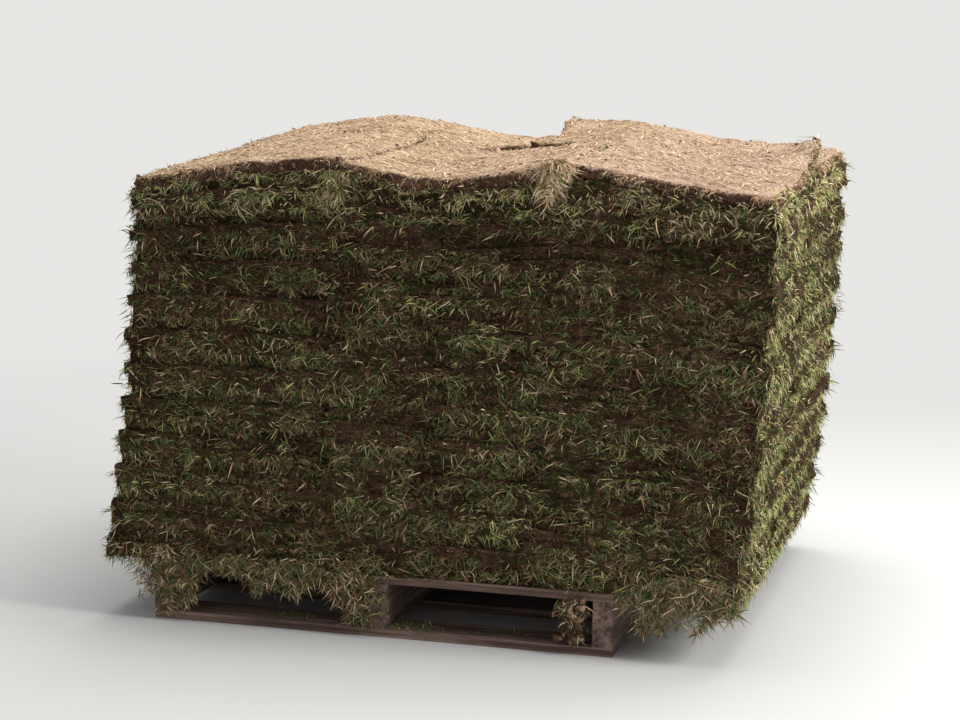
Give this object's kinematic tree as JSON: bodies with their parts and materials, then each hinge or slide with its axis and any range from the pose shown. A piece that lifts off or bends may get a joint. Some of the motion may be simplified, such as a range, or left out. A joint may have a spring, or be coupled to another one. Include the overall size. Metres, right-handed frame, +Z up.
{
  "type": "pallet of turf slabs",
  "caption": "Wooden pallet loaded with flat slabs of cut turf, laid soil side up in crossed layers, with grass hanging from their edges.",
  "frame": {"origin": "on the floor under the middle of the stack, on the underside of the middle bottom board", "axes": "+X to the right along the front, -Y towards the front, +Z up"},
  "size_m": [1.2989, 1.038, 0.9539],
  "materials": {
    "turf": "rough soil, roots and grass",
    "pallet_wood": "rough sawn and weathered"
  },
  "bodies": {
    "root": {"turf_layer_01": "turf", "turf_layer_02": "turf", "turf_layer_03": "turf", "turf_layer_04": "turf", "turf_layer_05": "turf", "turf_layer_06": "turf", "turf_layer_07": "turf", "turf_layer_08": "turf", "turf_layer_09": "turf", "turf_layer_10": "turf", "turf_layer_11": "turf", "turf_layer_12": "turf", "turf_layer_13": "turf", "turf_layer_14": "turf", "turf_layer_15": "turf", "turf_layer_16": "turf", "turf_layer_17": "turf", "turf_layer_18": "turf", "turf_layer_19": "turf", "turf_layer_20": "turf", "turf_layer_21": "turf", "turf_layer_22": "turf", "turf_layer_23": "turf", "turf_layer_24": "turf", "turf_layer_25": "turf", "turf_layer_26": "turf", "turf_layer_27": "turf", "turf_layer_28": "turf", "turf_layer_29": "turf", "turf_layer_30": "turf", "turf_layer_31": "turf", "turf_layer_32": "turf", "turf_layer_33": "turf", "turf_layer_34": "turf", "stringer_left": "pallet_wood", "stringer_middle": "pallet_wood", "stringer_right": "pallet_wood", "deck_board_1": "pallet_wood", "deck_board_2": "pallet_wood", "deck_board_3": "pallet_wood", "deck_board_4": "pallet_wood", "deck_board_5": "pallet_wood", "deck_board_6": "pallet_wood", "deck_board_7": "pallet_wood", "bottom_board_1": "pallet_wood", "bottom_board_2": "pallet_wood", "bottom_board_3": "pallet_wood", "bottom_board_4": "pallet_wood", "bottom_board_5": "pallet_wood"}
  },
  "joints": []
}
